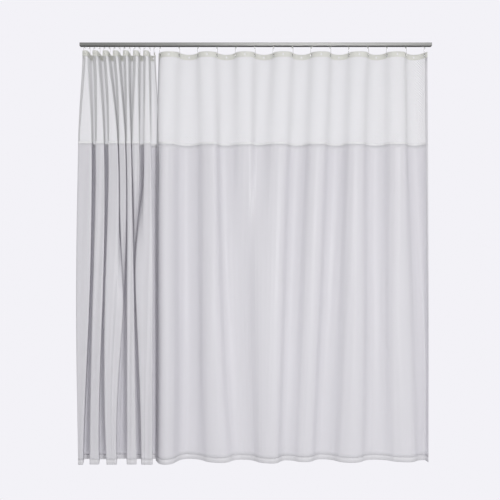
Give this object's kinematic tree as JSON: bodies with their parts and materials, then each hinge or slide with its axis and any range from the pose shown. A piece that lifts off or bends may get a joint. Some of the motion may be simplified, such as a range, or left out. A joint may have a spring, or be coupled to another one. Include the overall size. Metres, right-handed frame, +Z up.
{
  "type": "shower curtain",
  "caption": "Pair of track-hung shower curtains with a net top panel, sliding on wheeled carriers with wire hooks along a straight ceiling track.",
  "frame": {"origin": "middle of the track's top face, where it meets the ceiling", "axes": "+Z up out of the track's top face, +X along the track to the right seen from the front, front towards -Y"},
  "size_m": [2.09, 0.137, 2.489],
  "materials": {
    "track": "satin anodised, fine lengthways brushing",
    "end_cap": "moulded grey plastic",
    "end_stop": "moulded plastic with a steel set screw",
    "carrier": "nickel-plated steel stem and wire hook, white nylon wheels",
    "grommet": "nickel-plated, rolled edge",
    "header_cloth": "doubled white woven polyester",
    "mesh_net": "open white knitted net",
    "binding": "folded and stitched tape",
    "main_sheet": "satin coated sheet, pale lavender grey",
    "hem": "doubled and stitched sheet"
  },
  "bodies": {
    "track": {"track": "track", "left_end_cap": "end_cap", "right_end_cap": "end_cap", "left_end_stop": "end_stop", "right_end_stop": "end_stop", "left_carrier_01": "carrier", "right_carrier_15": "carrier", "left_header_band": "header_cloth", "left_grommets": "grommet", "left_mesh_panel": "mesh_net", "left_seam_binding": "binding", "left_main_panel": "main_sheet", "left_side_hems": "hem", "left_bottom_hem": "hem", "right_header_band": "header_cloth", "right_grommets": "grommet", "right_mesh_panel": "mesh_net", "right_seam_binding": "binding", "right_main_panel": "main_sheet", "right_side_hems": "hem", "right_bottom_hem": "hem"},
    "left_carrier_15": {"left_carrier_15": "carrier"},
    "left_carrier_02": {"left_carrier_02": "carrier"},
    "left_carrier_03": {"left_carrier_03": "carrier"},
    "left_carrier_04": {"left_carrier_04": "carrier"},
    "left_carrier_05": {"left_carrier_05": "carrier"},
    "left_carrier_06": {"left_carrier_06": "carrier"},
    "left_carrier_07": {"left_carrier_07": "carrier"},
    "left_carrier_08": {"left_carrier_08": "carrier"},
    "left_carrier_09": {"left_carrier_09": "carrier"},
    "left_carrier_10": {"left_carrier_10": "carrier"},
    "left_carrier_11": {"left_carrier_11": "carrier"},
    "left_carrier_12": {"left_carrier_12": "carrier"},
    "left_carrier_13": {"left_carrier_13": "carrier"},
    "left_carrier_14": {"left_carrier_14": "carrier"},
    "right_carrier_01": {"right_carrier_01": "carrier"},
    "right_carrier_02": {"right_carrier_02": "carrier"},
    "right_carrier_03": {"right_carrier_03": "carrier"},
    "right_carrier_04": {"right_carrier_04": "carrier"},
    "right_carrier_05": {"right_carrier_05": "carrier"},
    "right_carrier_06": {"right_carrier_06": "carrier"},
    "right_carrier_07": {"right_carrier_07": "carrier"},
    "right_carrier_08": {"right_carrier_08": "carrier"},
    "right_carrier_09": {"right_carrier_09": "carrier"},
    "right_carrier_10": {"right_carrier_10": "carrier"},
    "right_carrier_11": {"right_carrier_11": "carrier"},
    "right_carrier_12": {"right_carrier_12": "carrier"},
    "right_carrier_13": {"right_carrier_13": "carrier"},
    "right_carrier_14": {"right_carrier_14": "carrier"}
  },
  "joints": [
    {"name": "left_draw", "type": "slide", "parent": "track", "child": "left_carrier_15", "axis": [1, 0, 0], "range_m": [-0.0896, 0], "deforming": ["left_header_band", "left_grommets", "left_mesh_panel", "left_seam_binding", "left_main_panel", "left_side_hems", "left_bottom_hem"]},
    {"name": "left_slide_02", "type": "slide", "parent": "track", "child": "left_carrier_02", "axis": [1, 0, 0], "range_m": [-0.00642, 0]},
    {"name": "left_slide_03", "type": "slide", "parent": "track", "child": "left_carrier_03", "axis": [1, 0, 0], "range_m": [-0.01282, 0]},
    {"name": "left_slide_04", "type": "slide", "parent": "track", "child": "left_carrier_04", "axis": [1, 0, 0], "range_m": [-0.01922, 0]},
    {"name": "left_slide_05", "type": "slide", "parent": "track", "child": "left_carrier_05", "axis": [1, 0, 0], "range_m": [-0.02562, 0]},
    {"name": "left_slide_06", "type": "slide", "parent": "track", "child": "left_carrier_06", "axis": [1, 0, 0], "range_m": [-0.03202, 0]},
    {"name": "left_slide_07", "type": "slide", "parent": "track", "child": "left_carrier_07", "axis": [1, 0, 0], "range_m": [-0.03842, 0]},
    {"name": "left_slide_08", "type": "slide", "parent": "track", "child": "left_carrier_08", "axis": [1, 0, 0], "range_m": [-0.04482, 0]},
    {"name": "left_slide_09", "type": "slide", "parent": "track", "child": "left_carrier_09", "axis": [1, 0, 0], "range_m": [-0.05122, 0]},
    {"name": "left_slide_10", "type": "slide", "parent": "track", "child": "left_carrier_10", "axis": [1, 0, 0], "range_m": [-0.05762, 0]},
    {"name": "left_slide_11", "type": "slide", "parent": "track", "child": "left_carrier_11", "axis": [1, 0, 0], "range_m": [-0.06402, 0]},
    {"name": "left_slide_12", "type": "slide", "parent": "track", "child": "left_carrier_12", "axis": [1, 0, 0], "range_m": [-0.07042, 0]},
    {"name": "left_slide_13", "type": "slide", "parent": "track", "child": "left_carrier_13", "axis": [1, 0, 0], "range_m": [-0.07682, 0]},
    {"name": "left_slide_14", "type": "slide", "parent": "track", "child": "left_carrier_14", "axis": [1, 0, 0], "range_m": [-0.08322, 0]},
    {"name": "right_draw", "type": "slide", "parent": "track", "child": "right_carrier_01", "axis": [1, 0, 0], "range_m": [0, 1.1556], "deforming": ["right_header_band", "right_grommets", "right_mesh_panel", "right_seam_binding", "right_main_panel", "right_side_hems", "right_bottom_hem"]},
    {"name": "right_slide_02", "type": "slide", "parent": "track", "child": "right_carrier_02", "axis": [1, 0, 0], "range_m": [0, 1.07308]},
    {"name": "right_slide_03", "type": "slide", "parent": "track", "child": "right_carrier_03", "axis": [1, 0, 0], "range_m": [0, 0.99053]},
    {"name": "right_slide_04", "type": "slide", "parent": "track", "child": "right_carrier_04", "axis": [1, 0, 0], "range_m": [0, 0.90799]},
    {"name": "right_slide_05", "type": "slide", "parent": "track", "child": "right_carrier_05", "axis": [1, 0, 0], "range_m": [0, 0.82545]},
    {"name": "right_slide_06", "type": "slide", "parent": "track", "child": "right_carrier_06", "axis": [1, 0, 0], "range_m": [0, 0.74291]},
    {"name": "right_slide_07", "type": "slide", "parent": "track", "child": "right_carrier_07", "axis": [1, 0, 0], "range_m": [0, 0.66036]},
    {"name": "right_slide_08", "type": "slide", "parent": "track", "child": "right_carrier_08", "axis": [1, 0, 0], "range_m": [0, 0.57782]},
    {"name": "right_slide_09", "type": "slide", "parent": "track", "child": "right_carrier_09", "axis": [1, 0, 0], "range_m": [0, 0.49528]},
    {"name": "right_slide_10", "type": "slide", "parent": "track", "child": "right_carrier_10", "axis": [1, 0, 0], "range_m": [0, 0.41273]},
    {"name": "right_slide_11", "type": "slide", "parent": "track", "child": "right_carrier_11", "axis": [1, 0, 0], "range_m": [0, 0.33019]},
    {"name": "right_slide_12", "type": "slide", "parent": "track", "child": "right_carrier_12", "axis": [1, 0, 0], "range_m": [0, 0.24765]},
    {"name": "right_slide_13", "type": "slide", "parent": "track", "child": "right_carrier_13", "axis": [1, 0, 0], "range_m": [0, 0.16511]},
    {"name": "right_slide_14", "type": "slide", "parent": "track", "child": "right_carrier_14", "axis": [1, 0, 0], "range_m": [0, 0.08256]}
  ],
  "couplings": [
    {"joint": "left_slide_02", "follows": "left_draw", "ratio": 0.071429},
    {"joint": "left_slide_03", "follows": "left_draw", "ratio": 0.14286},
    {"joint": "left_slide_04", "follows": "left_draw", "ratio": 0.21429},
    {"joint": "left_slide_05", "follows": "left_draw", "ratio": 0.28571},
    {"joint": "left_slide_06", "follows": "left_draw", "ratio": 0.35714},
    {"joint": "left_slide_07", "follows": "left_draw", "ratio": 0.42857},
    {"joint": "left_slide_08", "follows": "left_draw", "ratio": 0.5},
    {"joint": "left_slide_09", "follows": "left_draw", "ratio": 0.57143},
    {"joint": "left_slide_10", "follows": "left_draw", "ratio": 0.64286},
    {"joint": "left_slide_11", "follows": "left_draw", "ratio": 0.71429},
    {"joint": "left_slide_12", "follows": "left_draw", "ratio": 0.78571},
    {"joint": "left_slide_13", "follows": "left_draw", "ratio": 0.85714},
    {"joint": "left_slide_14", "follows": "left_draw", "ratio": 0.92857},
    {"joint": "right_slide_02", "follows": "right_draw", "ratio": 0.92857},
    {"joint": "right_slide_03", "follows": "right_draw", "ratio": 0.85714},
    {"joint": "right_slide_04", "follows": "right_draw", "ratio": 0.78571},
    {"joint": "right_slide_05", "follows": "right_draw", "ratio": 0.71429},
    {"joint": "right_slide_06", "follows": "right_draw", "ratio": 0.64286},
    {"joint": "right_slide_07", "follows": "right_draw", "ratio": 0.57143},
    {"joint": "right_slide_08", "follows": "right_draw", "ratio": 0.5},
    {"joint": "right_slide_09", "follows": "right_draw", "ratio": 0.42857},
    {"joint": "right_slide_10", "follows": "right_draw", "ratio": 0.35714},
    {"joint": "right_slide_11", "follows": "right_draw", "ratio": 0.28571},
    {"joint": "right_slide_12", "follows": "right_draw", "ratio": 0.21429},
    {"joint": "right_slide_13", "follows": "right_draw", "ratio": 0.14286},
    {"joint": "right_slide_14", "follows": "right_draw", "ratio": 0.071429}
  ]
}
